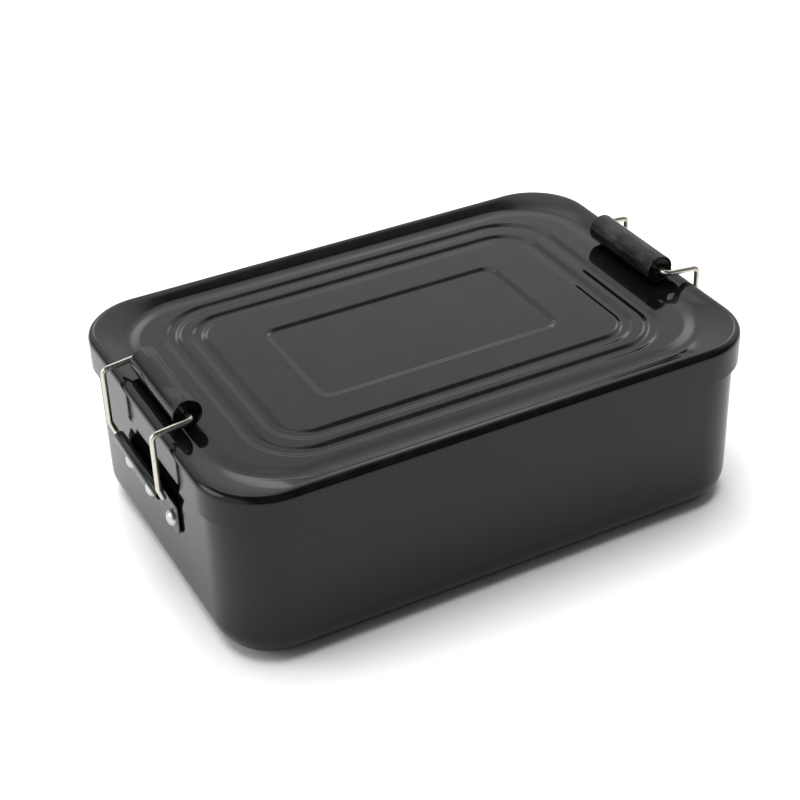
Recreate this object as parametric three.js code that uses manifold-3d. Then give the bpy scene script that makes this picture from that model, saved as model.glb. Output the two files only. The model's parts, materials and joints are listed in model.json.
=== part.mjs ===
// Pressed metal lunch box with a wire bail clasp on each short end.
// Millimetres, +Z up, origin at the bottom centre, X along the long side.

import * as THREE from 'three';
import Module from 'manifold-3d';
import { mergeVertices } from 'three/addons/utils/BufferGeometryUtils.js';

// ---- driving dimensions -------------------------------------------------
const boxLength = 173;            // over the lid rim, along X
const boxWidth = 118;             // over the lid rim, along Y
const boxHeight = 58;             // table to the crown of the lid rim
const rimCornerRadius = 19.8;     // corner of the lid seen from above
const fitGap = 0.3;               // clearance between pieces that touch

// lid
const lidSheet = 0.8;
const skirtDepth = 10.6;
const rimRound = 3.3;             // outer rounding from skirt to crown
const panelDrop = 1.8;            // crown down to the flat panel
const troughDrop = 2.1;           // crown down to the trough behind the rim
const ridgeDrop = 1.6;            // crown down to the low ridge inside the trough
const pressDepth = 0.6;           // depth of the pressed grooves and centre field
const shoulderEnd = 8.2;          // rim edge to trough on the short ends
const shoulderSide = 6.1;         // rim edge to trough on the long sides
const troughCorner = 21;
const ridgeCorner = 19.5;
const panelCorner = 18.5;
const ridgeInset = 3.7;           // trough to ridge
const panelInset = 6.3;           // trough to flat panel
const outerGrooveInset = 13.7;    // trough to the middle of the outer groove
const innerGrooveInset = 20.8;    // trough to the middle of the inner groove on the ends
const grooveGapSide = 7.2;        // outer to inner groove on the long sides
const outerGrooveInsetSide = 10.3;
const grooveHalfFloor = 0.6;
const grooveSlope = 2.2;
const outerGrooveCorner = 16;
const innerGrooveCorner = 11;
const fieldHalfLength = 39;       // pressed centre field, to the middle of its step
const fieldHalfWidth = 20.3;
const fieldStep = 1.2;            // half of the step's plan width
const fieldCorner = 4;

// tub
const tubSheet = 0.8;
const tubInset = 1.6;             // lid skirt's outer face to tub wall's outer face
const baseRadius = 9.1;           // rounding between wall and floor
const mouthBelowCrown = 1.9;      // crown of the lid down to the mouth of the tub
const mouthBead = 0.4;            // how far the rolled mouth stands out
const mouthBeadHeight = 1.8;

// clasp
const wireRadius = 0.85;
const hingeOut = 3.5;             // tub wall to the hinge axis
const hingeHeight = 38.6;
const gripRadius = 4.4;
const gripSheet = 0.6;
const gripHalfLength = 16.2;
const gripInboard = 8.5;          // rim edge back to the grip's axis
const gripAboveCrown = 3.6;       // lid crown up to the grip's axis
const plugRecess = 0.6;
const plugThickness = 3;
const legOut = 1.4;               // hinge axis out to the straight legs
const legFootRise = 3.9;          // hinge axis up to the bend at the foot of a leg
const armDrop = 1.3;              // grip axis down to the arms' outer end
const legHalfSpacing = 19.2;
const wireBend = 2.2;             // centreline radius of the wire's bends
const wireInGrip = 3.4;           // how far each wire end reaches into the grip

// bracket and rivets
const bracketSheet = 0.6;
const plateHalfWidth = 20.5;
const plateBottom = 25;
const plateTop = 35;
const plateCorner = 3;
const tabTop = 37.3;              // top of the full-width sloped part
const barrelHalfLength = 16.5;
const barrelEndAngle = -115;      // where the rolled edge stops, degrees from outward
const rivetHeight = 29.3;
const rivetSpacing = 16;
const rivetShank = 1.2;
const rivetHead = 2.5;
const rivetHeadHeight = 1.6;
const rivetTail = 2;
const rivetTailHeight = 0.6;

// facets
const cornerSteps = 8;
const roundSteps = 6;
const wireSides = 8;
const wireSteps = 96;
const gripSides = 32;
const rivetSides = 16;

// ---- derived places -----------------------------------------------------
const halfLength = boxLength / 2;
const halfWidth = boxWidth / 2;
const tubHalfLength = halfLength - tubInset;
const tubHalfWidth = halfWidth - tubInset;
const tubCorner = rimCornerRadius - tubInset;
const skirtBottom = boxHeight - skirtDepth;
const mouthTop = boxHeight - mouthBelowCrown;
const hingeX = tubHalfLength + hingeOut;
const gripX = halfLength - gripInboard;
const gripZ = boxHeight + gripAboveCrown;
const legX = hingeX + legOut;
const plateIn = tubHalfLength + fitGap;
const plateOut = plateIn + bracketSheet;
const boreRadius = wireRadius + fitGap;
const rivetHole = rivetShank + fitGap;

// ---- finishes -----------------------------------------------------------
const paint = (roughness) =>
  new THREE.MeshStandardMaterial({ color: 0x0b0b0c, roughness, metalness: 0.2 });
const nickel = () =>
  new THREE.MeshStandardMaterial({ color: 0xd6d2c6, roughness: 0.25, metalness: 1 });
const rivetMetal = () =>
  new THREE.MeshStandardMaterial({ color: 0xb9bab8, roughness: 0.4, metalness: 1 });
const darkPlug = () =>
  new THREE.MeshStandardMaterial({ color: 0x070708, roughness: 0.55, metalness: 0 });

// ---- helpers ------------------------------------------------------------
const wasm = await Module();
wasm.setup();

function named(name, geometry, material) {
  const mesh = new THREE.Mesh(geometry, material);
  mesh.name = name;
  return mesh;
}

function welded(geometry) {
  const bare = geometry.clone();
  bare.deleteAttribute('normal');
  bare.deleteAttribute('uv');
  return mergeVertices(bare.index ? bare : mergeVertices(bare), 1e-5);
}

function toSolid(geometry) {
  const clean = welded(geometry);
  return new wasm.Manifold(new wasm.Mesh({
    numProp: 3,
    vertProperties: new Float32Array(clean.attributes.position.array),
    triVerts: new Uint32Array(clean.index.array),
  }));
}

function fromSolid(solid) {
  const mesh = solid.getMesh();
  const geometry = new THREE.BufferGeometry();
  geometry.setAttribute('position', new THREE.BufferAttribute(mesh.vertProperties, 3));
  geometry.setIndex(new THREE.BufferAttribute(mesh.triVerts, 1));
  geometry.computeVertexNormals();
  return geometry;
}

// One loop of a pressed shell: half length, half width, corner radius, height.
const loop = (hx, hy, r, z) => ({ hx, hy, r, z });

// A lathe whose four quarters are pulled apart, so that every profile point
// runs round a rounded rectangle of its own.
function pulledLathe(loops) {
  const points = loops.map((l) => new THREE.Vector2(l.r, l.z));
  const segments = 4 * cornerSteps;
  const half = Math.PI / segments;
  const geometry = new THREE.LatheGeometry(points, segments, half);
  geometry.rotateX(Math.PI / 2);
  const position = geometry.attributes.position;
  const reach = 1 / Math.cos(half);
  for (let i = 0; i < position.count; i += 1) {
    const l = loops[i % loops.length];
    const x = position.getX(i) * reach;
    const y = position.getY(i) * reach;
    position.setX(i, x + Math.sign(x) * (l.hx - l.r));
    position.setY(i, y + Math.sign(y) * (l.hy - l.r));
    position.setZ(i, l.z);
  }
  return geometry;
}

// Loops of a smooth step from one loop to the next, without the two ends.
function easedStep(from, to, steps) {
  const between = [];
  for (let i = 1; i < steps; i += 1) {
    const t = i / steps;
    const rise = (1 - Math.cos(Math.PI * t)) / 2;
    between.push(loop(
      from.hx + (to.hx - from.hx) * t,
      from.hy + (to.hy - from.hy) * t,
      from.r + (to.r - from.r) * t,
      from.z + (to.z - from.z) * rise,
    ));
  }
  return between;
}

// ---- lid ----------------------------------------------------------------
function groove(hx, hy, r, top) {
  const edge = grooveHalfFloor + grooveSlope;
  const at = (d, z) => loop(hx + d, hy + d, r + d, z);
  const inner = at(-edge, top);
  const floorIn = at(-grooveHalfFloor, top - pressDepth);
  const floorOut = at(grooveHalfFloor, top - pressDepth);
  const outer = at(edge, top);
  return [
    inner, ...easedStep(inner, floorIn, 3), floorIn,
    floorOut, ...easedStep(floorOut, outer, 3), outer,
  ];
}

function lidTop(lower) {
  const crown = boxHeight - lower;
  const panel = crown - panelDrop;
  const troughX = halfLength - shoulderEnd;
  const troughY = halfWidth - shoulderSide;
  const field = (d, z) => loop(fieldHalfLength + d, fieldHalfWidth + d, fieldCorner + d, z);
  const fieldIn = field(-fieldStep, panel - pressDepth);
  const fieldOut = field(fieldStep, panel);
  const innerGroove = groove(
    troughX - innerGrooveInset,
    troughY - outerGrooveInsetSide - grooveGapSide,
    innerGrooveCorner,
    panel,
  );
  const outerGroove = groove(
    troughX - outerGrooveInset, troughY - outerGrooveInsetSide, outerGrooveCorner, panel,
  );
  const panelEdge = loop(troughX - panelInset, troughY - panelInset, panelCorner, panel);
  const ridge = loop(
    troughX - ridgeInset, troughY - ridgeInset, ridgeCorner, crown - ridgeDrop,
  );
  const trough = loop(troughX, troughY, troughCorner, crown - troughDrop);
  const rim = loop(
    halfLength - rimRound, halfWidth - rimRound, rimCornerRadius - rimRound, crown,
  );
  return [
    loop(0, 0, 0, panel - pressDepth),
    fieldIn, ...easedStep(fieldIn, fieldOut, 3), fieldOut,
    ...innerGroove,
    ...outerGroove,
    panelEdge, ...easedStep(panelEdge, ridge, 2),
    ridge, ...easedStep(ridge, trough, 3),
    trough, ...easedStep(trough, rim, 4),
    rim,
  ];
}

function rimQuarter(lower, inset) {
  const radius = rimRound - inset;
  const loops = [];
  for (let i = 1; i <= roundSteps; i += 1) {
    const a = (Math.PI / 2) * (i / roundSteps);
    const out = radius * Math.sin(a) - rimRound;
    const z = boxHeight - lower - radius * (1 - Math.cos(a));
    loops.push(loop(halfLength + out, halfWidth + out, rimCornerRadius + out, z));
  }
  return loops;
}

function lid() {
  const outside = [
    ...lidTop(0), ...rimQuarter(0, 0), loop(halfLength, halfWidth, rimCornerRadius, skirtBottom),
  ];
  const inside = [
    ...lidTop(lidSheet), ...rimQuarter(lidSheet, lidSheet),
    loop(halfLength - lidSheet, halfWidth - lidSheet, rimCornerRadius - lidSheet, skirtBottom),
  ];
  return named('lid', pulledLathe([...outside, ...inside.reverse()].reverse()), paint(0.12));
}

// ---- tub ----------------------------------------------------------------
function tubWall(inset) {
  const radius = baseRadius - inset;
  const at = (out, z) =>
    loop(tubHalfLength - inset + out, tubHalfWidth - inset + out, tubCorner - inset + out, z);
  const loops = [loop(0, 0, 0, inset), at(-radius, inset)];
  for (let i = 1; i <= roundSteps; i += 1) {
    const a = (Math.PI / 2) * (i / roundSteps);
    loops.push(at(-radius * (1 - Math.sin(a)), baseRadius - radius * Math.cos(a)));
  }
  return { loops, at };
}

function tub() {
  const outer = tubWall(0);
  const inner = tubWall(tubSheet);
  const beadBottom = mouthTop - mouthBeadHeight;
  const bead = [];
  for (let i = 0; i <= roundSteps; i += 1) {
    const a = Math.PI * (i / roundSteps);
    const z = beadBottom + mouthBeadHeight * (1 - Math.cos(a)) / 2;
    bead.push(outer.at(mouthBead * Math.sin(a), z));
  }
  const shell = pulledLathe([
    ...outer.loops, ...bead, inner.at(0, mouthTop), ...inner.loops.reverse(),
  ]);
  let solid = toSolid(shell);
  const drill = new THREE.CylinderGeometry(rivetHole, rivetHole, 3 * tubSheet, rivetSides);
  drill.rotateZ(Math.PI / 2);
  for (const side of [-1, 1]) {
    for (const place of [-1, 0, 1]) {
      const hole = drill.clone();
      hole.translate(side * (tubHalfLength - tubSheet / 2), place * rivetSpacing, rivetHeight);
      solid = solid.subtract(toSolid(hole));
    }
  }
  return named('tub', fromSolid(solid), paint(0.12));
}

// ---- clasp bracket: flat plate, sloped tab and rolled barrel ------------
// Built for the +X end, outward along +X.
function extrudeAcross(shape, halfWide) {
  const geometry = new THREE.ExtrudeGeometry(shape, {
    depth: 2 * halfWide, bevelEnabled: false, curveSegments: roundSteps,
  });
  geometry.translate(0, 0, -halfWide);
  geometry.rotateX(Math.PI / 2);
  return geometry;
}

function bracketPlate() {
  const outline = new THREE.Shape();
  outline.moveTo(-plateHalfWidth, plateTop);
  outline.lineTo(-plateHalfWidth, plateBottom + plateCorner);
  outline.absarc(
    -plateHalfWidth + plateCorner, plateBottom + plateCorner, plateCorner, Math.PI, 1.5 * Math.PI,
  );
  outline.absarc(
    plateHalfWidth - plateCorner, plateBottom + plateCorner, plateCorner, 1.5 * Math.PI, 2 * Math.PI,
  );
  outline.lineTo(plateHalfWidth, plateTop);
  outline.closePath();
  for (const place of [-1, 0, 1]) {
    const hole = new THREE.Path();
    hole.absarc(place * rivetSpacing, rivetHeight, rivetHole, 0, 2 * Math.PI, true);
    outline.holes.push(hole);
  }
  const geometry = new THREE.ExtrudeGeometry(outline, {
    depth: bracketSheet, bevelEnabled: false, curveSegments: roundSteps,
  });
  // shape x -> Y, shape y -> Z, depth -> X
  geometry.applyMatrix4(new THREE.Matrix4().makeBasis(
    new THREE.Vector3(0, 1, 0), new THREE.Vector3(0, 0, 1), new THREE.Vector3(1, 0, 0),
  ));
  geometry.translate(plateIn, 0, 0);
  return geometry;
}

// The sheet's middle line leaves the plate and touches the barrel's middle circle.
const sheetMiddle = plateIn + bracketSheet / 2;
const barrelMiddle = boreRadius + bracketSheet / 2;
const toHinge = new THREE.Vector2(hingeX - sheetMiddle, hingeHeight - plateTop);
const slopeAngle = toHinge.angle() + Math.asin(barrelMiddle / toHinge.length());
const sheetNormal = new THREE.Vector2(-Math.sin(slopeAngle), Math.cos(slopeAngle));

function bracketTab() {
  const half = bracketSheet / 2;
  const run = (tabTop - plateTop) / Math.sin(slopeAngle);
  const topX = sheetMiddle + run * Math.cos(slopeAngle);
  const tab = new THREE.Shape();
  tab.moveTo(plateIn, plateTop - half);
  tab.lineTo(plateOut, plateTop - half);
  tab.lineTo(plateOut, plateTop);
  tab.lineTo(topX - sheetNormal.x * half, tabTop - sheetNormal.y * half);
  tab.lineTo(topX + sheetNormal.x * half, tabTop + sheetNormal.y * half);
  tab.lineTo(plateIn, plateTop);
  tab.closePath();
  return extrudeAcross(tab, plateHalfWidth);
}

function bracketBarrel() {
  const half = bracketSheet / 2;
  const startAngle = slopeAngle + Math.PI / 2;
  const endAngle = THREE.MathUtils.degToRad(barrelEndAngle);
  const run = (tabTop - plateTop) / Math.sin(slopeAngle) - half;
  const foot = new THREE.Vector2(
    sheetMiddle + run * Math.cos(slopeAngle), plateTop + run * Math.sin(slopeAngle),
  );
  const outer = barrelMiddle + half;
  const inner = barrelMiddle - half;
  const roll = new THREE.Shape();
  roll.moveTo(foot.x - sheetNormal.x * half, foot.y - sheetNormal.y * half);
  roll.lineTo(
    hingeX + inner * Math.cos(startAngle), hingeHeight + inner * Math.sin(startAngle),
  );
  roll.absarc(hingeX, hingeHeight, inner, startAngle, endAngle, true);
  roll.lineTo(hingeX + outer * Math.cos(endAngle), hingeHeight + outer * Math.sin(endAngle));
  roll.absarc(hingeX, hingeHeight, outer, endAngle, startAngle, false);
  roll.lineTo(foot.x + sheetNormal.x * half, foot.y + sheetNormal.y * half);
  roll.closePath();
  return new THREE.ExtrudeGeometry(roll, {
    depth: 2 * barrelHalfLength, bevelEnabled: false, curveSegments: 3 * roundSteps,
  }).translate(0, 0, -barrelHalfLength).rotateX(Math.PI / 2);
}

function hingeBracket(name) {
  const solid = toSolid(bracketPlate()).add(toSolid(bracketTab())).add(toSolid(bracketBarrel()));
  return named(name, fromSolid(solid), paint(0.16));
}

// ---- rivets -------------------------------------------------------------
function rivet(name, y) {
  const headFoot = plateOut + fitGap;
  const tailFoot = tubHalfLength - tubSheet - fitGap;
  const profile = [
    new THREE.Vector2(0, tailFoot - rivetTailHeight),
    new THREE.Vector2(rivetTail * 0.8, tailFoot - rivetTailHeight),
    new THREE.Vector2(rivetTail, tailFoot - rivetTailHeight / 2),
    new THREE.Vector2(rivetTail, tailFoot),
    new THREE.Vector2(rivetShank, tailFoot),
    new THREE.Vector2(rivetShank, headFoot),
  ];
  for (let i = 0; i <= roundSteps; i += 1) {
    const a = (Math.PI / 2) * (i / roundSteps);
    const radius = i === roundSteps ? 0 : rivetHead * Math.cos(a);
    profile.push(new THREE.Vector2(radius, headFoot + rivetHeadHeight * Math.sin(a)));
  }
  const mesh = named(name, new THREE.LatheGeometry(profile, rivetSides), rivetMetal());
  mesh.rotation.z = -Math.PI / 2;
  mesh.position.set(0, y, rivetHeight);
  return mesh;
}

// ---- wire bail ----------------------------------------------------------
// Half of the wire, from the middle of the hinge rod to its end in the grip.
function bailCorners() {
  return [
    new THREE.Vector3(hingeX, 0, hingeHeight),
    new THREE.Vector3(hingeX, legHalfSpacing, hingeHeight),
    new THREE.Vector3(legX, legHalfSpacing, hingeHeight + legFootRise),
    new THREE.Vector3(legX, legHalfSpacing, gripZ - armDrop),
    new THREE.Vector3(gripX, legHalfSpacing, gripZ),
    new THREE.Vector3(gripX, gripHalfLength - wireInGrip, gripZ),
  ];
}

function bentWire(corners) {
  const path = new THREE.CurvePath();
  let from = corners[0];
  for (let i = 1; i < corners.length - 1; i += 1) {
    const corner = corners[i];
    const back = corners[i - 1].clone().sub(corner);
    const ahead = corners[i + 1].clone().sub(corner);
    const turn = Math.PI - back.angleTo(ahead);
    const reach = Math.min(
      wireBend * Math.tan(turn / 2), 0.45 * back.length(), 0.45 * ahead.length(),
    );
    const start = corner.clone().addScaledVector(back.normalize(), reach);
    const end = corner.clone().addScaledVector(ahead.normalize(), reach);
    path.add(new THREE.LineCurve3(from, start));
    path.add(new THREE.QuadraticBezierCurve3(start, corner, end));
    from = end;
  }
  path.add(new THREE.LineCurve3(from, corners[corners.length - 1]));
  return path;
}

function wireBail(name) {
  const half = bailCorners();
  const mirrored = half.slice(1).map((c) => new THREE.Vector3(c.x, -c.y, c.z)).reverse();
  const path = bentWire([...mirrored, ...half.slice(1)]);
  const section = new THREE.Shape();
  for (let i = 0; i < wireSides; i += 1) {
    const a = 2 * Math.PI * (i / wireSides);
    const x = wireRadius * Math.cos(a);
    const y = wireRadius * Math.sin(a);
    if (i === 0) section.moveTo(x, y);
    else section.lineTo(x, y);
  }
  section.closePath();
  const geometry = new THREE.ExtrudeGeometry(section, { steps: wireSteps, extrudePath: path });
  return named(name, geometry, nickel());
}

// ---- grip ---------------------------------------------------------------
// A closed ring of rectangular section about the grip's axis.
function ringGeometry(inner, outer, from, to, sides) {
  const profile = [
    new THREE.Vector2(inner, from),
    new THREE.Vector2(outer, from),
    new THREE.Vector2(outer, to),
    new THREE.Vector2(inner, to),
    new THREE.Vector2(inner, from),
  ];
  return new THREE.LatheGeometry(profile, sides);
}

function gripTube(name) {
  const geometry = ringGeometry(
    gripRadius - gripSheet, gripRadius, -gripHalfLength, gripHalfLength, gripSides,
  );
  const mesh = named(name, geometry, paint(0.2));
  mesh.position.set(gripX, 0, gripZ);
  return mesh;
}

function gripPlug(name, side) {
  const face = gripHalfLength - plugRecess;
  const geometry = ringGeometry(
    boreRadius, gripRadius - gripSheet - fitGap, face - plugThickness, face, gripSides,
  );
  const mesh = named(name, geometry, darkPlug());
  mesh.rotation.x = side > 0 ? 0 : Math.PI;
  mesh.position.set(gripX, 0, gripZ);
  return mesh;
}

// ---- one clasp; the left one is the right one turned half round ---------
function clasp(label, turn) {
  const group = new THREE.Group();
  group.add(hingeBracket(`${label}_hinge_bracket`));
  group.add(rivet(`${label}_rivet_a`, -rivetSpacing));
  group.add(rivet(`${label}_rivet_b`, 0));
  group.add(rivet(`${label}_rivet_c`, rivetSpacing));
  group.add(wireBail(`${label}_wire_bail`));
  group.add(gripTube(`${label}_grip_tube`));
  group.add(gripPlug(`${label}_grip_plug_a`, -1));
  group.add(gripPlug(`${label}_grip_plug_b`, 1));
  group.rotation.z = turn;
  return group;
}

const lunchBox = new THREE.Group();
lunchBox.add(tub());
lunchBox.add(lid());
lunchBox.add(clasp('right', 0));
lunchBox.add(clasp('left', Math.PI));

export default lunchBox;
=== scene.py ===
"""A pressed metal lunch box in gloss black paint, shut by a wire bail with a roller grip at each end."""

import json
import math

import bmesh
import bpy
from mathutils import Matrix, Vector


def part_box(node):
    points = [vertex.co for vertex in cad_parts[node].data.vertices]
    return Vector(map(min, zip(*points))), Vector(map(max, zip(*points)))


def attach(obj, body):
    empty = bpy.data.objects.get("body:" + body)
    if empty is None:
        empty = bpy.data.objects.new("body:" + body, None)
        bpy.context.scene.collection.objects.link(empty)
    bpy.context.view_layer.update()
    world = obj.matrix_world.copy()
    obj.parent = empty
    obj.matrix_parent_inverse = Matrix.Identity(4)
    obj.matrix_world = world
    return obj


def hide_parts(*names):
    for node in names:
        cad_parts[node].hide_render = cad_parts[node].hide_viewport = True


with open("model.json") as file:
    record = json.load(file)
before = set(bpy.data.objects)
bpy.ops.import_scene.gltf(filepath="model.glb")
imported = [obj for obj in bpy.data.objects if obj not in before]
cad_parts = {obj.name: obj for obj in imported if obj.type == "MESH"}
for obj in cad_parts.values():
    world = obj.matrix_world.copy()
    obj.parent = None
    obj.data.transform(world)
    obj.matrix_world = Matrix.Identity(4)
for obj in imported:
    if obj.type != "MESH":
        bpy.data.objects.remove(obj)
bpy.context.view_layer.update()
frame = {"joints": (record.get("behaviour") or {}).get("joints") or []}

MM = 0.001


# ---- sizes, in metres: from the frame where it has them ------------------
def joint_place(name):
    """Where a joint stands at rest."""
    return next(Vector(joint["pos_m"]) for joint in frame["joints"] if joint["name"] == name)


lid_low, lid_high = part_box("lid")
tub_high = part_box("tub")[1]
plate_low, plate_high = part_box("right_hinge_bracket")
tube_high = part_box("right_grip_tube")[1]
cap_low, cap_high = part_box("right_grip_plug_b")
hinge, grip = joint_place("right_bail_hinge"), joint_place("right_grip_spin")

SHEET = 0.8 * MM                            # tub and lid
THIN_SHEET = 0.6 * MM                       # brackets and grips
HALF_LENGTH, HALF_WIDTH, CROWN = lid_high   # over the lid's rim, and up to its crown
RIM_CORNER = 19.8 * MM
RIM_ROUND = 2.2 * MM
SKIRT_BOTTOM = lid_low.z
BEAD_OUT = 0.4 * MM                         # how far the tub's rolled mouth stands out of its wall
BEAD_HEIGHT = 1.8 * MM
TUB_HALF_LENGTH, TUB_HALF_WIDTH = tub_high.x - BEAD_OUT, tub_high.y - BEAD_OUT
TUB_CORNER = 18.2 * MM
BASE_ROUND = 9.1 * MM
MOUTH = tub_high.z
GRIP_HALF = tube_high.y
GRIP_RADIUS = tube_high.z - grip.z
WIRE = 0.85 * MM                            # radius of the bail's wire


# ---- modelling helpers --------------------------------------------------
def clear_selection():
    if bpy.context.object and bpy.context.object.mode != "OBJECT":
        bpy.ops.object.mode_set(mode="OBJECT")
    bpy.ops.object.select_all(action="DESELECT")


def work_on(piece):
    clear_selection()
    piece.select_set(True)
    bpy.context.view_layer.objects.active = piece


def named(name):
    """The primitive just added, under its own name."""
    piece = bpy.context.object
    piece.name = name
    piece.data.name = name
    return piece


def edit_mesh():
    return bmesh.from_edit_mesh(bpy.context.edit_object.data)


def pick_faces(test):
    """Selects just the faces of the open mesh that pass the test."""
    bpy.ops.mesh.select_mode(type="FACE")
    bpy.ops.mesh.select_all(action="DESELECT")
    mesh = edit_mesh()
    for face in mesh.faces:
        face.select_set(bool(test(face)))
    bmesh.update_edit_mesh(bpy.context.edit_object.data)


def pick_edges(test):
    """Selects just the edges of the open mesh that pass the test."""
    bpy.ops.mesh.select_mode(type="EDGE")
    bpy.ops.mesh.select_all(action="DESELECT")
    mesh = edit_mesh()
    for edge in mesh.edges:
        if test(edge):
            edge.select_set(True)
    bmesh.update_edit_mesh(bpy.context.edit_object.data)


def middle(edge):
    return (edge.verts[0].co + edge.verts[1].co) / 2


def apply_place(piece):
    work_on(piece)
    bpy.ops.object.transform_apply(location=True, rotation=True, scale=True)


def apply_modifier(piece, kind, **settings):
    work_on(piece)
    modifier = piece.modifiers.new(kind.lower(), kind)
    for key, value in settings.items():
        setattr(modifier, key, value)
    bpy.ops.object.modifier_apply(modifier=modifier.name)


def thicken(piece, thickness, offset=-1):
    """Gives a skin its sheet: inwards at an offset of -1, to both sides at 0."""
    apply_modifier(piece, "SOLIDIFY", thickness=thickness, offset=offset, use_even_offset=True)


def break_edges(piece, width, segments, degrees):
    """Rounds off the edges where faces meet at more than the angle."""
    apply_modifier(piece, "BEVEL", width=width, segments=segments, limit_method="ANGLE",
                   angle_limit=math.radians(degrees))


def extrude_by(way):
    bpy.ops.mesh.extrude_region_move(TRANSFORM_OT_translate={"value": way})


def smooth(piece, degrees):
    work_on(piece)
    bpy.ops.object.shade_smooth_by_angle(angle=math.radians(degrees))


def face_outwards(piece):
    """Merges a piece's doubles and turns all its faces outwards."""
    work_on(piece)
    bpy.ops.object.mode_set(mode="EDIT")
    bpy.ops.mesh.select_all(action="SELECT")
    bpy.ops.mesh.remove_doubles(threshold=1e-6)
    bpy.ops.mesh.normals_make_consistent(inside=False)
    bpy.ops.object.mode_set(mode="OBJECT")


def copy_of(piece, name):
    """A twin of a piece with its own mesh."""
    twin = piece.copy()
    twin.data = piece.data.copy()
    twin.name = name
    twin.data.name = name
    bpy.context.collection.objects.link(twin)
    return twin


def turned_half_round(piece, name):
    """The same piece at the left end of the box."""
    twin = copy_of(piece, name)
    twin.rotation_euler = (0, 0, math.pi)
    apply_place(twin)
    return twin


# ---- pressed sheet: nested rounded rectangles joined into one skin -------
CORNER_CUTS = 20
SIDE_CUTS = 7
STAGE_STEP = 5 * MM              # how far apart the rings stand while they are being joined
BEND_SHARE = 0.30                # share of a pressed slope's width that each of its two bends takes
SHOULDER_CURVE = 1.45            # 1 is a straight shoulder, more is rounder at its brow
FOOT_SHARE = 0.12                # share of the shoulder's width that the bend at its foot takes
FOOT_START = 0.4                 # share of its rise that the shoulder takes up at the start of that bend


def ring_mark():
    """The open mesh, and the mark on each vertex that says which ring it lies on."""
    mesh = edit_mesh()
    return mesh, mesh.verts.layers.int.get("ring") or mesh.verts.layers.int.new("ring")


def add_ring(number, hx, hy, r, z):
    """Adds one rounded rectangle of edges to the open mesh and marks it with its number."""
    bpy.ops.mesh.select_mode(type="VERT")
    bpy.ops.mesh.select_all(action="DESELECT")
    bpy.ops.mesh.primitive_plane_add(size=2, location=(0, 0, z))
    bpy.ops.transform.resize(value=(hx, hy, 1), center_override=(0, 0, z))
    bpy.ops.mesh.bevel(offset=r, segments=CORNER_CUTS, affect="VERTICES", clamp_overlap=False)
    mesh, mark = ring_mark()
    longest_in_corner = 1.2 * math.pi / 2 * r / CORNER_CUTS
    bpy.ops.mesh.select_mode(type="EDGE")
    for edge in mesh.edges:
        new = edge.verts[0][mark] == 0 and edge.verts[1][mark] == 0
        edge.select_set(new and edge.calc_length() > longest_in_corner)
    bmesh.update_edit_mesh(bpy.context.edit_object.data)
    bpy.ops.mesh.subdivide(number_cuts=SIDE_CUTS)
    mesh, mark = ring_mark()
    for vert in mesh.verts:
        if vert[mark] == 0:
            vert[mark] = number
    bmesh.update_edit_mesh(bpy.context.edit_object.data)


def join_rings(inner, outer):
    """Spans the gap between two rings of the open mesh with faces."""
    bpy.ops.mesh.select_mode(type="EDGE")
    bpy.ops.mesh.select_all(action="DESELECT")
    mesh, mark = ring_mark()
    for edge in mesh.edges:
        first, second = (v[mark] for v in edge.verts)
        edge.select_set(first == second and first in (inner, outer))
    bmesh.update_edit_mesh(bpy.context.edit_object.data)
    bpy.ops.mesh.bridge_edge_loops()


def pressed_skin(name, rings, middle_up):
    """A skin from its innermost ring, which is closed flat, out to its last.

    The rings are joined as a tall stepped funnel, which is then pressed to its real heights."""
    clear_selection()
    bpy.ops.mesh.primitive_plane_add(size=2)
    piece = named(name)
    bpy.ops.object.mode_set(mode="EDIT")
    bpy.ops.mesh.select_all(action="SELECT")
    bpy.ops.mesh.delete(type="VERT")
    ring_mark()
    for number, (hx, hy, r, z) in enumerate(rings, 1):
        add_ring(number, hx, hy, r, -STAGE_STEP * number)
        if number == 1:
            continue
        # only the first ring keeps its face, which closes the skin's middle
        bpy.ops.mesh.select_mode(type="FACE")
        bpy.ops.mesh.select_all(action="DESELECT")
        mesh, mark = ring_mark()
        for face in mesh.faces:
            face.select_set(all(v[mark] == number for v in face.verts))
        bmesh.update_edit_mesh(bpy.context.edit_object.data)
        bpy.ops.mesh.delete(type="ONLY_FACE")
        join_rings(number - 1, number)
    bpy.ops.mesh.select_all(action="SELECT")
    bpy.ops.mesh.normals_make_consistent(inside=False)
    centre = max(edit_mesh().faces, key=lambda f: len(f.verts))
    if (centre.normal.z > 0) != middle_up:
        bpy.ops.mesh.flip_normals()
    bpy.ops.mesh.select_mode(type="VERT")
    for number, ring in enumerate(rings, 1):
        bpy.ops.mesh.select_all(action="DESELECT")
        mesh, mark = ring_mark()
        for vert in mesh.verts:
            vert.select_set(vert[mark] == number)
        bmesh.update_edit_mesh(bpy.context.edit_object.data)
        bpy.ops.transform.translate(value=(0, 0, ring[3] + STAGE_STEP * number))
    bpy.ops.object.mode_set(mode="OBJECT")
    return piece


def pressed_rise(t):
    """How far up a pressed slope is at t of its width: straight, with a soft bend at each end."""
    if t > 0.5:
        return 1 - pressed_rise(1 - t)
    if t < BEND_SHARE:
        return t * t / (2 * BEND_SHARE * (1 - BEND_SHARE))
    return (t - BEND_SHARE / 2) / (1 - BEND_SHARE)


def dished_rise(t):
    """How far up the lid's shoulder is at t of its width: steepest above its foot, flat at its brow."""
    full = 1 - (1 - t) ** SHOULDER_CURVE
    return full * (FOOT_START + (1 - FOOT_START) * min(1, t / FOOT_SHARE))


def sloped(start, end, steps, rise=pressed_rise):
    """The rings from start to end on a pressed slope, both ends included."""
    rings = []
    for i in range(steps + 1):
        t = i / steps
        plan = [a + (b - a) * t for a, b in zip(start[:3], end[:3])]
        rings.append((*plan, start[3] + (end[3] - start[3]) * rise(t)))
    return rings


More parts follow.
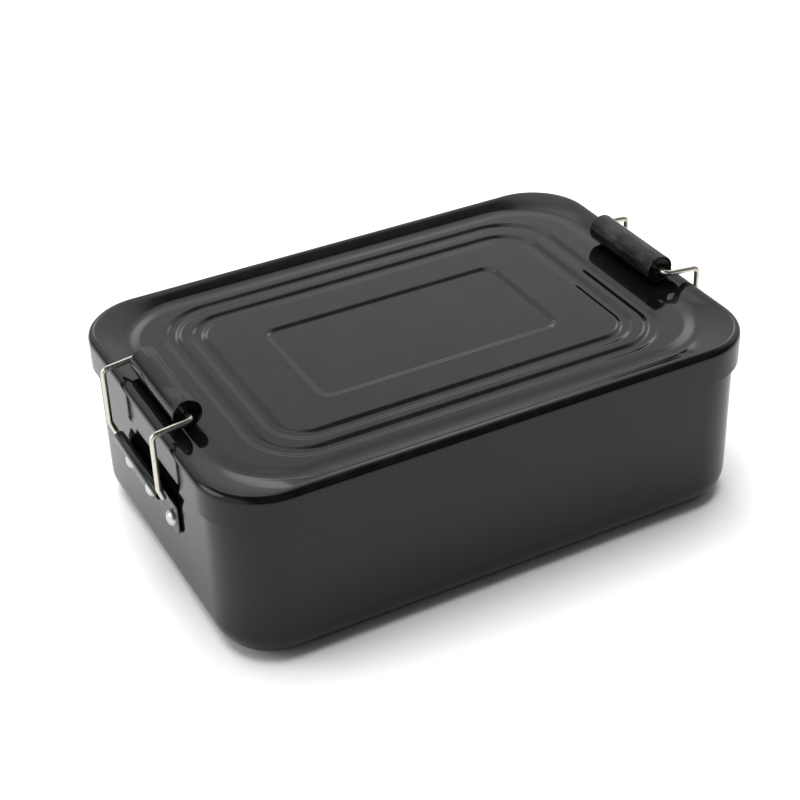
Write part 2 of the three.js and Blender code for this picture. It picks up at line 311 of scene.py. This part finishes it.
def offset_ring(ring, out, z=None):
    """The ring moved outwards by a distance, at its own height or another."""
    hx, hy, r, height = ring
    return (hx + out, hy + out, r + out, height if z is None else z)


# ---- lid ----------------------------------------------------------------
PANEL = CROWN - 1.4 * MM
PRESS = 0.5 * MM                 # depth of the grooves and the middle field
CHANNEL = 0.24 * MM              # how far the channel behind the rim lies below the panel
HOLD = 0.25 * MM                 # how near a flat's edge the ring that keeps it flat lies
GROOVE_FLOOR, GROOVE_SLOPE = 0.6 * MM, 2.2 * MM    # half the floor's width, and one slope's
FIELD_SLOPE = 2.4 * MM
# half length, half width and corner radius, to the middle of each groove or slope
FIELD = (39.0 * MM, 20.3 * MM, 4.0 * MM)
INNER_GROOVE = (57.5 * MM, 35.4 * MM, 11.0 * MM)
OUTER_GROOVE = (64.6 * MM, 42.6 * MM, 16.0 * MM)
# and to the three edges of the channel's slope and floor
PANEL_EDGE = (73.2 * MM, 46.6 * MM, 17.2 * MM)
CHANNEL_IN = (77.4 * MM, 49.9 * MM, 20.5 * MM)
CHANNEL_OUT = (78.9 * MM, 52.2 * MM, 25.0 * MM)
STEPS_IN_SLOPE = 9
STEPS_IN_CHANNEL = 8
STEPS_IN_SHOULDER = 16
STEPS_IN_RIM = 12


def groove_rings(plan):
    """The rings of one groove: slope down, flat floor, slope up."""
    centre = (*plan, PANEL)
    inner = offset_ring(centre, -GROOVE_FLOOR - GROOVE_SLOPE)
    floor_in = offset_ring(centre, -GROOVE_FLOOR, PANEL - PRESS)
    floor_out = offset_ring(centre, GROOVE_FLOOR, PANEL - PRESS)
    outer = offset_ring(centre, GROOVE_FLOOR + GROOVE_SLOPE)
    return [
        offset_ring(inner, -HOLD),
        *sloped(inner, floor_in, STEPS_IN_SLOPE), *sloped(floor_out, outer, STEPS_IN_SLOPE),
        offset_ring(outer, HOLD),
    ]


def lid_rings():
    """The lid from its middle field out over the rim and down the skirt."""
    field = (*FIELD, PANEL)
    low = offset_ring(field, -FIELD_SLOPE / 2, PANEL - PRESS)
    high = offset_ring(field, FIELD_SLOPE / 2)
    panel_edge = (*PANEL_EDGE, PANEL)
    channel_in = (*CHANNEL_IN, PANEL - CHANNEL)
    channel_out = (*CHANNEL_OUT, PANEL - CHANNEL)
    rim = offset_ring((HALF_LENGTH, HALF_WIDTH, RIM_CORNER, CROWN), -RIM_ROUND)
    rings = [
        offset_ring(low, -HOLD), *sloped(low, high, STEPS_IN_SLOPE), offset_ring(high, HOLD),
        *groove_rings(INNER_GROOVE),
        *groove_rings(OUTER_GROOVE),
        offset_ring(panel_edge, -HOLD),
        *sloped(panel_edge, channel_in, STEPS_IN_CHANNEL),
        *sloped(channel_out, rim, STEPS_IN_SHOULDER, dished_rise),
    ]
    for i in range(1, STEPS_IN_RIM + 1):
        a = math.pi / 2 * i / STEPS_IN_RIM
        rings.append(offset_ring(
            rim, RIM_ROUND * math.sin(a), CROWN - RIM_ROUND * (1 - math.cos(a))))
    wall = rings[-1]
    rings.append(offset_ring(wall, 0, wall[3] - HOLD))
    rings.append(offset_ring(wall, 0, SKIRT_BOTTOM + HOLD))
    rings.append(offset_ring(wall, 0, SKIRT_BOTTOM))
    return rings


lid = pressed_skin("lid_pressing", lid_rings(), middle_up=True)
thicken(lid, SHEET)
smooth(lid, 40)


# ---- tub ----------------------------------------------------------------
STEPS_IN_BASE = 14
STEPS_IN_BEAD = 8
WALL_MIDDLE = 30 * MM            # one ring halfway up keeps the wall's faces short


def tub_rings():
    """The tub from the middle of its base out round the base edge and up to the rolled mouth."""
    wall = (TUB_HALF_LENGTH, TUB_HALF_WIDTH, TUB_CORNER, 0)
    flat = offset_ring(wall, -BASE_ROUND, 0)
    rings = [offset_ring(flat, -HOLD)]
    for i in range(STEPS_IN_BASE + 1):
        a = math.pi / 2 * i / STEPS_IN_BASE
        rings.append(offset_ring(
            flat, BASE_ROUND * math.sin(a), BASE_ROUND * (1 - math.cos(a))))
    bead_low = MOUTH - BEAD_HEIGHT
    for height in (BASE_ROUND + HOLD, WALL_MIDDLE, bead_low - HOLD):
        rings.append(offset_ring(wall, 0, height))
    for i in range(STEPS_IN_BEAD + 1):
        a = math.pi * i / STEPS_IN_BEAD
        rings.append(offset_ring(
            wall, BEAD_OUT * math.sin(a), bead_low + BEAD_HEIGHT * (1 - math.cos(a)) / 2))
    return rings


tub = pressed_skin("tub_pressing", tub_rings(), middle_up=False)
thicken(tub, SHEET)
smooth(tub, 40)


# ---- wire bail ----------------------------------------------------------
WIRE_SIDES = 20
WIRE_BEND = 1.76 * MM            # radius of each bend, to the wire's middle line
DEGREES_A_STEP = 9
LEG_X = hinge.x + 1.4 * MM
LEG_Y = 19.2 * MM
half_wire = [
    Vector((hinge.x, LEG_Y, hinge.z)),
    Vector((LEG_X, LEG_Y, hinge.z + 3.9 * MM)),
    Vector((LEG_X, LEG_Y, grip.z - 1.3 * MM)),
    Vector((grip.x, LEG_Y, grip.z)),
    Vector((grip.x, GRIP_HALF - 3.4 * MM, grip.z)),
]
other_half = [Vector((p.x, -p.y, p.z)) for p in reversed(half_wire)]


def bent_wire(name, points):
    """A round wire drawn straight between the points and spun round each bend."""
    clear_selection()
    way = (points[1] - points[0]).normalized()
    turn = Vector((0, 0, 1)).rotation_difference(way).to_euler()
    bpy.ops.mesh.primitive_circle_add(
        vertices=WIRE_SIDES, radius=WIRE, fill_type="NGON", location=points[0], rotation=turn)
    piece = named(name)
    apply_place(piece)
    bpy.ops.object.mode_set(mode="EDIT")
    bpy.ops.mesh.select_mode(type="FACE")
    bpy.ops.mesh.select_all(action="SELECT")
    here = points[0]
    for corner, onward in zip(points[1:-1], points[2:]):
        back = (here - corner).normalized()
        ahead = (onward - corner).normalized()
        turn = math.pi - back.angle(ahead)
        reach = WIRE_BEND * math.tan(turn / 2)
        start = corner + back * reach
        extrude_by(start - here)
        axis = (-back).cross(ahead).normalized()
        inward = axis.cross(-back).normalized()
        # spin turns left-handed, so it is given the axis turned round
        bpy.ops.mesh.spin(
            steps=max(3, round(math.degrees(turn) / DEGREES_A_STEP)), angle=turn,
            center=start + inward * WIRE_BEND, axis=-axis)
        here = corner + ahead * reach
    extrude_by(points[-1] - here)
    bpy.ops.object.mode_set(mode="OBJECT")
    face_outwards(piece)
    break_edges(piece, 0.12 * MM, 2, 60)
    smooth(piece, 50)
    return piece


right_bail = bent_wire("right_bail_wire", other_half + half_wire)
left_bail = turned_half_round(right_bail, "left_bail_wire")


# ---- hinge bracket ------------------------------------------------------
PLATE_X = plate_low.x + THIN_SHEET / 2      # middle of the plate's sheet
PLATE_HALF = plate_high.y
PLATE_CORNER = 3 * MM
BARREL_HALF = 16.5 * MM
BARREL = 1.45 * MM                          # radius to the middle of the rolled sheet
BARREL_TURN = math.radians(240)
PLATE_LOW, PLATE_HIGH, TAB_HIGH = plate_low.z, 35 * MM, 37.3 * MM
NEAR = 0.1 * MM                             # how close a point has to be to count as on a line


def rolled_bracket(name):
    """A plate with two rounded corners, bent out above and rolled into a barrel."""
    clear_selection()
    bpy.ops.mesh.primitive_plane_add(
        size=1, location=(PLATE_X, 0, (PLATE_LOW + PLATE_HIGH) / 2), rotation=(0, math.pi / 2, 0))
    piece = named(name)
    piece.scale = (PLATE_HIGH - PLATE_LOW, 2 * PLATE_HALF, 1)
    apply_place(piece)
    bpy.ops.object.mode_set(mode="EDIT")
    # rounded lower corners
    bpy.ops.mesh.select_mode(type="VERT")
    bpy.ops.mesh.select_all(action="DESELECT")
    for vert in edit_mesh().verts:
        vert.select_set(vert.co.z < PLATE_LOW + NEAR)
    bpy.ops.mesh.bevel(offset=PLATE_CORNER, segments=8, affect="VERTICES")
    # the slope out to the barrel
    to_hinge = Vector((hinge.x - PLATE_X, hinge.z - PLATE_HIGH))
    slope = math.atan2(to_hinge.y, to_hinge.x) + math.asin(BARREL / to_hinge.length)
    run = (TAB_HIGH - PLATE_HIGH) / math.sin(slope)
    tangent = math.sqrt(to_hinge.length ** 2 - BARREL ** 2)
    along = Vector((math.cos(slope), 0, math.sin(slope)))
    pick_edges(lambda e: middle(e).z > PLATE_HIGH - NEAR
               and abs(e.verts[0].co.y - e.verts[1].co.y) > 1 * MM)
    extrude_by(along * run)
    # the notch at each end of the barrel
    for y in (-BARREL_HALF, BARREL_HALF):
        bpy.ops.mesh.select_all(action="SELECT")
        bpy.ops.mesh.bisect(plane_co=(0, y, 0), plane_no=(0, 1, 0))
    pick_edges(lambda e: middle(e).z > TAB_HIGH - NEAR / 10 and abs(middle(e).y) < BARREL_HALF)
    extrude_by(along * (tangent - run))
    bpy.ops.mesh.spin(
        steps=26, angle=BARREL_TURN, center=(hinge.x, 0, hinge.z), axis=(0, -1, 0))
    bpy.ops.object.mode_set(mode="OBJECT")
    face_outwards(piece)
    thicken(piece, THIN_SHEET, offset=0)
    break_edges(piece, 0.14 * MM, 2, 50)
    smooth(piece, 30)
    return piece


right_bracket = rolled_bracket("right_bracket_sheet")
left_bracket = turned_half_round(right_bracket, "left_bracket_sheet")


# ---- rivets -------------------------------------------------------------
RIVET_SEAT = PLATE_X + THIN_SHEET / 2 + 0.02 * MM
HEAD_FLATTENED = 0.72
SHANK = 1.2 * MM                 # radius
SHANK_END = TUB_HALF_LENGTH - SHEET - 0.3 * MM
TAIL_SPREAD, TAIL_ROUNDED = 1.6, 0.82
TAIL_STRAIGHT, TAIL_TIP = 0.35 * MM, 0.2 * MM
LEAST_FLAT = 3e-6                # square metres: only the head's flat side has more


def domed_rivet(name, low, high):
    """A ball cut in half and flattened for the head, with its shank and tail drawn back from it."""
    clear_selection()
    head = (high.z - low.z) / 2
    seat = Vector((RIVET_SEAT, (low.y + high.y) / 2, (low.z + high.z) / 2))
    bpy.ops.mesh.primitive_uv_sphere_add(
        segments=36, ring_count=24, radius=head, location=seat, rotation=(0, math.pi / 2, 0))
    piece = named(name)
    apply_place(piece)
    bpy.ops.object.mode_set(mode="EDIT")
    bpy.ops.mesh.select_all(action="SELECT")
    bpy.ops.mesh.bisect(plane_co=seat, plane_no=(1, 0, 0), clear_inner=True, use_fill=True)
    bpy.ops.mesh.select_all(action="SELECT")
    bpy.ops.transform.resize(value=(HEAD_FLATTENED, 1, 1), center_override=seat)
    # the shank, from an inset in the flat side of the head, and the spread tail at its end
    pick_faces(lambda f: f.normal.x < -0.9 and f.calc_area() > LEAST_FLAT)
    bpy.ops.mesh.inset(thickness=head - SHANK)
    extrude_by((SHANK_END - RIVET_SEAT, 0, 0))
    extrude_by((0, 0, 0))
    bpy.ops.transform.resize(value=(1, TAIL_SPREAD, TAIL_SPREAD), center_override=seat)
    extrude_by((-TAIL_STRAIGHT, 0, 0))
    extrude_by((-TAIL_TIP, 0, 0))
    bpy.ops.transform.resize(value=(1, TAIL_ROUNDED, TAIL_ROUNDED), center_override=seat)
    bpy.ops.object.mode_set(mode="OBJECT")
    face_outwards(piece)
    smooth(piece, 40)
    return piece


rivets = {}
for letter in ("a", "b", "c"):
    right = domed_rivet(f"right_rivet_dome_{letter}", *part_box(f"right_rivet_{letter}"))
    rivets["right", letter] = right
    rivets["left", letter] = turned_half_round(right, f"left_rivet_dome_{letter}")


# ---- grips: a rolled tube and the cap in each of its ends ----------------
TUBE_END = 0.5 * MM              # a short ring at each end of the tube, for its rounded lip
CAP_RADIUS = (cap_high.z - cap_low.z) / 2
CAP_DEPTH = cap_high.y - cap_low.y
CAP_INSIDE = 0.3 * MM            # how far the cap's face lies inside the tube's end
CAP_LIP, CAP_DISH, CAP_CENTRE = 0.3 * MM, 1.2 * MM, 0.85 * MM     # widths, from its edge inwards
LIP_STEP, DISH_STEP = 0.08 * MM, 0.07 * MM
HOLE_DEPTH = 2.0 * MM


def rolled_tube(name):
    """The grip's open tube, with rounded lips."""
    clear_selection()
    bpy.ops.mesh.primitive_circle_add(
        vertices=64, radius=GRIP_RADIUS, location=(grip.x, -GRIP_HALF, grip.z),
        rotation=(math.pi / 2, 0, 0))
    piece = named(name)
    apply_place(piece)
    bpy.ops.object.mode_set(mode="EDIT")
    bpy.ops.mesh.select_mode(type="EDGE")
    bpy.ops.mesh.select_all(action="SELECT")
    for run in (TUBE_END, 2 * (GRIP_HALF - TUBE_END), TUBE_END):
        bpy.ops.mesh.extrude_edges_move(TRANSFORM_OT_translate={"value": (0, run, 0)})
    bpy.ops.object.mode_set(mode="OBJECT")
    face_outwards(piece)
    # an open tube has no outside to find, so one face is tested against the axis
    face = piece.data.polygons[0]
    if (face.center - Vector((grip.x, face.center.y, grip.z))).dot(face.normal) < 0:
        work_on(piece)
        bpy.ops.object.mode_set(mode="EDIT")
        bpy.ops.mesh.select_all(action="SELECT")
        bpy.ops.mesh.flip_normals()
        bpy.ops.object.mode_set(mode="OBJECT")
    thicken(piece, THIN_SHEET)
    break_edges(piece, 0.22 * MM, 3, 50)
    smooth(piece, 35)
    return piece


def end_cap(name, side):
    """A cap pressed into the tube's end, with a lip, a slight dish, and a hole for the wire."""
    clear_selection()
    face_middle = Vector((grip.x, side * (GRIP_HALF - CAP_INSIDE), grip.z))
    bpy.ops.mesh.primitive_cylinder_add(
        vertices=48, radius=CAP_RADIUS, depth=CAP_DEPTH,
        location=face_middle - Vector((0, side * CAP_DEPTH / 2, 0)), rotation=(math.pi / 2, 0, 0))
    piece = named(name)
    apply_place(piece)
    bpy.ops.object.mode_set(mode="EDIT")
    pick_faces(lambda f: f.normal.y * side > 0.9
               and (f.calc_center_median() - face_middle).length < 0.3 * MM)
    bpy.ops.mesh.inset(thickness=CAP_LIP, depth=-LIP_STEP)
    bpy.ops.mesh.inset(thickness=CAP_DISH, depth=-DISH_STEP)
    bpy.ops.mesh.inset(thickness=CAP_CENTRE)
    extrude_by((0, -side * HOLE_DEPTH, 0))
    bpy.ops.object.mode_set(mode="OBJECT")
    face_outwards(piece)
    break_edges(piece, 0.1 * MM, 2, 40)
    smooth(piece, 35)
    return piece


right_tube = rolled_tube("right_grip_roller")
left_tube = turned_half_round(right_tube, "left_grip_roller")
caps = {}
for letter, side in (("a", -1), ("b", 1)):
    right = end_cap(f"right_grip_cap_{letter}", side)
    caps["right", letter] = right
    caps["left", letter] = turned_half_round(right, f"left_grip_cap_{letter}")


# ---- finishes -----------------------------------------------------------
class Finish:
    """A material and the few kinds of node its pattern is made from."""

    def __init__(self, name):
        self.material = bpy.data.materials.new(name)
        self.material.use_nodes = True
        self.tree = self.material.node_tree
        self.surface = self.tree.nodes["Principled BSDF"]
        self.place = self.tree.nodes.new("ShaderNodeTexCoord").outputs["Object"]

    def node(self, kind, **settings):
        node = self.tree.nodes.new(kind)
        for key, value in settings.items():
            setattr(node, key, value)
        return node

    def link(self, start, end):
        self.tree.links.new(start, end)

    def stretched(self, scale):
        """The place on the piece, scaled along each axis: a small number draws the pattern out."""
        mapping = self.node("ShaderNodeMapping")
        mapping.inputs["Scale"].default_value = scale
        self.link(self.place, mapping.inputs["Vector"])
        return mapping.outputs["Vector"]

    def noise(self, scale, detail=3.0, roughness=0.5, place=None):
        """A cloudy pattern, with about as many clouds in a metre as its scale."""
        node = self.node("ShaderNodeTexNoise")
        node.inputs["Scale"].default_value = scale
        node.inputs["Detail"].default_value = detail
        node.inputs["Roughness"].default_value = roughness
        self.link(place or self.place, node.inputs["Vector"])
        return node.outputs["Fac"]

    def specks(self, spacing, size, share):
        """Small dots: 1 on a dot and 0 off it, on a share of the cells of a given spacing."""
        cells = self.node("ShaderNodeTexVoronoi")
        cells.inputs["Scale"].default_value = 1 / spacing
        self.link(self.place, cells.inputs["Vector"])
        near = self.node("ShaderNodeMapRange")
        near.inputs["From Min"].default_value = size / spacing
        near.inputs["From Max"].default_value = size / spacing * 0.6
        self.link(cells.outputs["Distance"], near.inputs["Value"])
        some = self.node("ShaderNodeMath", operation="LESS_THAN")
        some.inputs[1].default_value = share
        split = self.node("ShaderNodeSeparateColor")
        self.link(cells.outputs["Color"], split.inputs["Color"])
        self.link(split.outputs["Red"], some.inputs[0])
        both = self.node("ShaderNodeMath", operation="MULTIPLY")
        self.link(near.outputs["Result"], both.inputs[0])
        self.link(some.outputs["Value"], both.inputs[1])
        return both.outputs["Value"]

    def between(self, value, low, high, start=0.0, end=1.0):
        """The value mapped from start..end to low..high."""
        node = self.node("ShaderNodeMapRange")
        node.inputs["From Min"].default_value = start
        node.inputs["From Max"].default_value = end
        node.inputs["To Min"].default_value = low
        node.inputs["To Max"].default_value = high
        self.link(value, node.inputs["Value"])
        return node.outputs["Result"]

    def mixed(self, share, first, second):
        """The first colour where the share is 0, the second where it is 1."""
        node = self.node("ShaderNodeMix", data_type="RGBA")
        self.link(share, node.inputs[0])
        for socket, colour in ((node.inputs[6], first), (node.inputs[7], second)):
            if isinstance(colour, tuple):
                socket.default_value = (*colour, 1)
            else:
                self.link(colour, socket)
        return node.outputs[2]

    def greater(self, first, second):
        node = self.node("ShaderNodeMath", operation="MAXIMUM")
        self.link(first, node.inputs[0])
        self.link(second, node.inputs[1])
        return node.outputs["Value"]

    def colour(self, output):
        self.link(output, self.surface.inputs["Base Color"])

    def roughness(self, output):
        self.link(output, self.surface.inputs["Roughness"])

    def bumps(self, *layers):
        """Each layer is a height and how deep it is in metres, from coarse to fine."""
        normal = None
        for height, depth in layers:
            bump = self.node("ShaderNodeBump")
            bump.inputs["Strength"].default_value = 1.0
            bump.inputs["Distance"].default_value = depth
            self.link(height, bump.inputs["Height"])
            if normal:
                self.link(normal, bump.inputs["Normal"])
            normal = bump.outputs["Normal"]
        self.link(normal, self.surface.inputs["Normal"])


PAINT = (0.0018, 0.0020, 0.0019)
WORN_PAINT = tuple(1.8 * c for c in PAINT)
DUST = (0.10, 0.10, 0.095)
SMEAR = (0.055, 0.055, 0.054)
PAINT_IOR = 1.42


def gloss_black(name, wobble=1.0, handled=0.04):
    """Stoved gloss paint: orange peel, dust nibs, wipe marks, and smears where it is handled."""
    finish = Finish(name)
    cloud = finish.noise(45, 3)
    dust = finish.specks(6 * MM, 0.16 * MM, 0.35)
    fine_dust = finish.specks(2.2 * MM, 0.07 * MM, 0.25)
    wipes = finish.noise(60, 5, 0.7, finish.stretched((0.35, 6.0, 1.0)))
    smears = finish.noise(150, 6, 0.75, finish.stretched((1.0, 0.35, 1.0)))
    peel = finish.noise(900, 2, 0.45)
    ripple = finish.noise(120, 2, 0.4)

    tint = finish.mixed(cloud, PAINT, WORN_PAINT)
    tint = finish.mixed(finish.between(dust, 0, 0.5), tint, DUST)
    tint = finish.mixed(
        finish.between(smears, 0, handled, start=0.48, end=0.62), tint, SMEAR)
    finish.colour(tint)

    wiped = finish.between(wipes, 0.06, 0.13, start=0.35, end=0.75)
    smeared = finish.between(smears, 0.02, 0.02 + handled, start=0.46, end=0.64)
    dusty = finish.between(dust, 0.0, 0.6)
    finish.roughness(finish.greater(finish.greater(wiped, smeared), dusty))

    finish.bumps(
        (smears, 0.10 * MM * handled),
        (ripple, 0.006 * MM * wobble),
        (peel, 0.0012 * MM * wobble),
        (finish.greater(dust, fine_dust), 0.02 * MM))
    finish.surface.inputs["IOR"].default_value = PAINT_IOR
    return finish.material


def bright_nickel(name):
    """Plated wire, with fine marks along it from the drawing die."""
    finish = Finish(name)
    cloud = finish.noise(400, 4, 0.6)
    drawn = finish.noise(2600, 3, 0.6, finish.stretched((1, 1, 0.06)))
    finish.colour(finish.mixed(cloud, (0.86, 0.81, 0.72), (0.66, 0.62, 0.54)))
    finish.surface.inputs["Metallic"].default_value = 1.0
    finish.roughness(finish.between(drawn, 0.22, 0.42, start=0.3, end=0.7))
    finish.bumps((cloud, 0.006 * MM), (drawn, 0.003 * MM))
    return finish.material


def rivet_aluminium(name):
    """Soft bright metal, dulled and dented where the rivet set struck it."""
    finish = Finish(name)
    cloud = finish.noise(700, 4, 0.6)
    struck = finish.noise(1500, 2, 0.5)
    finish.colour(finish.mixed(cloud, (0.80, 0.80, 0.79), (0.55, 0.55, 0.54)))
    finish.surface.inputs["Metallic"].default_value = 1.0
    finish.roughness(finish.between(struck, 0.28, 0.5, start=0.3, end=0.7))
    finish.bumps((cloud, 0.03 * MM), (struck, 0.01 * MM))
    return finish.material


def moulded_black(name):
    """Black moulded plastic with a faint grain."""
    finish = Finish(name)
    cloud = finish.noise(500, 4, 0.6)
    finish.colour(finish.mixed(cloud, (0.004, 0.004, 0.004), (0.012, 0.012, 0.012)))
    finish.roughness(finish.between(cloud, 0.14, 0.3))
    finish.bumps((finish.noise(2500, 2), 0.006 * MM))
    return finish.material


body_paint = gloss_black("gloss_black_paint")
small_paint = gloss_black("dipped_black_paint", wobble=3.0)
grip_paint = gloss_black("handled_black_paint", wobble=5.0, handled=0.3)
nickel = bright_nickel("bright_nickel_wire")
rivet_metal = rivet_aluminium("struck_aluminium")
cap_black = moulded_black("moulded_black_plug")


def finish_piece(piece, material, body, slot, *nodes):
    """Gives a piece its material and the body that it rides on, and hides the nodes it stands for. The
    slot is not used.
    """
    piece.data.materials.clear()
    piece.data.materials.append(material)
    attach(piece, body)
    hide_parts(*nodes)


finish_piece(lid, body_paint, "lid", "black_paint", "lid")
finish_piece(tub, body_paint, "tub", "black_paint", "tub")
clasps = {
    "right": (right_bracket, right_bail, right_tube),
    "left": (left_bracket, left_bail, left_tube),
}
for end, (bracket, bail, tube) in clasps.items():
    finish_piece(bracket, small_paint, "tub", "bracket_paint", f"{end}_hinge_bracket")
    finish_piece(bail, nickel, f"{end}_bail", "wire_nickel", f"{end}_wire_bail")
    finish_piece(tube, grip_paint, f"{end}_grip", "black_paint", f"{end}_grip_tube")
    for letter in ("a", "b", "c"):
        finish_piece(
            rivets[end, letter], rivet_metal, "tub", "rivet_metal", f"{end}_rivet_{letter}")
    for letter in ("a", "b"):
        finish_piece(
            caps[end, letter], cap_black, f"{end}_grip", "grip_plug", f"{end}_grip_plug_{letter}")


# ---- floor --------------------------------------------------------------
FLOOR_SIZE = 8                   # metres
FLOOR_DROP = 0.05 * MM           # keeps the floor clear of the tub's flat base
# painted shade: the card's colour in the paint's reflections is darker than the colour it shows to the
# eye
SHADED_IN_REFLECTIONS = ((0.63, 0.63, 0.63), (0.65, 0.65, 0.65))
TO_THE_EYE = ((0.94, 0.94, 0.94), (0.96, 0.96, 0.96))


def pale_card(name):
    """Matt card that shows white to the eye, with painted shade that makes it a little darker in the
    paint's reflections.
    """
    finish = Finish(name)
    seen = finish.node("ShaderNodeLightPath").outputs["Is Camera Ray"]
    mottle = finish.noise(6, 3)
    finish.colour(finish.mixed(
        seen, finish.mixed(mottle, *SHADED_IN_REFLECTIONS), finish.mixed(mottle, *TO_THE_EYE)))
    finish.surface.inputs["Roughness"].default_value = 0.9
    finish.surface.inputs["Specular IOR Level"].default_value = 0.0
    finish.bumps((finish.noise(900, 3), 0.02 * MM))
    return finish.material


clear_selection()
bpy.ops.mesh.primitive_plane_add(size=FLOOR_SIZE, location=(0, 0, -FLOOR_DROP))
floor = named("pale_floor")
apply_place(floor)
floor.data.materials.append(pale_card("pale_floor_card"))


# ---- light --------------------------------------------------------------
def soft_box(name, place, aim, size, power):
    """A square lamp that lights the scene but doesn't show in gloss, where the tent shows instead."""
    lamp = bpy.data.lights.new(name, "AREA")
    lamp.shape = "SQUARE"
    lamp.size = size
    lamp.energy = power
    holder = bpy.data.objects.new(name, lamp)
    holder.location = place
    holder.rotation_euler = (Vector(aim) - Vector(place)).to_track_quat("-Z", "Y").to_euler()
    holder.visible_glossy = False
    bpy.context.collection.objects.link(holder)


soft_box("overhead_soft_box", place=(-0.05, 0.12, 1.0), aim=(0, 0, 0), size=0.9, power=16.5)

# The tent's parts: directions are azimuth and elevation in degrees, from +X towards +Y.
# A fade is where it starts and ends, then its strength at each: by how nearly a ray points
# at the part, or by the ray's height.
TENT_MIDDLE, TENT_FADE = (62.5, 10), (0.087, 0.75, 0.08, 1.0)
ROOF_FADE = (0.70, 0.84, 1.0, 0.24)
FOOT_FADE = (0.02, 0.42, 0.40, 1.0)
LEFT_MIDDLE, LEFT_FADE = (180, 8), (0.55, 0.9, 0.0, 0.9)
# soft lamps in the tent: azimuth, elevation and radius in degrees, and strength
LAMPS = (
    (66, 13, 6, 0.9),
    (158, 28, 24, 2.5),
    (83, 26, 9, 1.5),
    (41, 33, 9, 1.9),
    (80, 58, 16, 1.3),
)
LAMP_CORE = 0.35                 # share of a lamp's radius that is at full strength
TENT_COLOUR = (0.97, 1.0, 0.99, 1)


def studio_world():
    """A pale tent behind the box and at its left, open and dark on the near side, with soft lamps."""
    world = bpy.data.worlds.new("studio_tent")
    bpy.context.scene.world = world
    world.use_nodes = True
    tree = world.node_tree
    shine = tree.nodes["Background"]
    direction = tree.nodes.new("ShaderNodeTexCoord").outputs["Generated"]

    def toward(azimuth, elevation):
        """How nearly a direction points to a place on the tent, from -1 to 1."""
        a, e = math.radians(azimuth), math.radians(elevation)
        dot = tree.nodes.new("ShaderNodeVectorMath")
        dot.operation = "DOT_PRODUCT"
        tree.links.new(direction, dot.inputs[0])
        dot.inputs[1].default_value = (
            math.cos(e) * math.cos(a), math.cos(e) * math.sin(a), math.sin(e))
        return dot.outputs["Value"]

    def ramp(value, start, end, low, high):
        node = tree.nodes.new("ShaderNodeMapRange")
        node.interpolation_type = "SMOOTHSTEP"
        node.inputs["From Min"].default_value = start
        node.inputs["From Max"].default_value = end
        node.inputs["To Min"].default_value = low
        node.inputs["To Max"].default_value = high
        tree.links.new(value, node.inputs["Value"])
        return node.outputs["Result"]

    def both(kind, first, second):
        node = tree.nodes.new("ShaderNodeMath")
        node.operation = kind
        tree.links.new(first, node.inputs[0])
        tree.links.new(second, node.inputs[1])
        return node.outputs["Value"]

    split = tree.nodes.new("ShaderNodeSeparateXYZ")
    tree.links.new(direction, split.inputs["Vector"])
    height = split.outputs["Z"]
    tent = ramp(toward(*TENT_MIDDLE), *TENT_FADE)
    tent = both("MULTIPLY", tent, ramp(height, *ROOF_FADE))
    tent = both("MULTIPLY", tent, ramp(height, *FOOT_FADE))
    glow = both("MAXIMUM", tent, ramp(toward(*LEFT_MIDDLE), *LEFT_FADE))
    for azimuth, elevation, radius, strength in LAMPS:
        edge = math.cos(math.radians(radius))
        core = math.cos(math.radians(radius * LAMP_CORE))
        lamp = ramp(toward(azimuth, elevation), edge, core, 0.0, strength)
        glow = both("ADD", glow, lamp)
    tree.links.new(glow, shine.inputs["Strength"])
    shine.inputs["Color"].default_value = TENT_COLOUR


studio_world()


# ---- camera -------------------------------------------------------------
CAMERA_PLACE = Vector((-204.581, -392.432, 324.216)) * MM
AZIMUTH, ELEVATION, ROLL = -26.992, 33.5355, -1.9965     # degrees
SENSOR_WIDTH, LENS = 36, 78.03                           # millimetres


def camera_turn():
    """The camera's side, up and backward directions as the columns of its turn."""
    a, e, r = (math.radians(v) for v in (AZIMUTH, ELEVATION, ROLL))
    back = Vector((math.sin(a) * math.cos(e), -math.cos(a) * math.cos(e), math.sin(e)))
    side = Vector((0, 0, 1)).cross(back).normalized()
    up = back.cross(side)
    side_rolled = side * math.cos(r) + up * math.sin(r)
    up_rolled = up * math.cos(r) - side * math.sin(r)
    return Matrix((side_rolled, up_rolled, back)).transposed()


lens = bpy.data.cameras.new("camera")
lens.sensor_width = SENSOR_WIDTH
lens.lens = LENS
camera = bpy.data.objects.new("camera", lens)
camera.matrix_world = Matrix.Translation(CAMERA_PLACE) @ camera_turn().to_4x4()
bpy.context.collection.objects.link(camera)
bpy.context.scene.camera = camera
bpy.context.scene.view_settings.view_transform = "Standard"
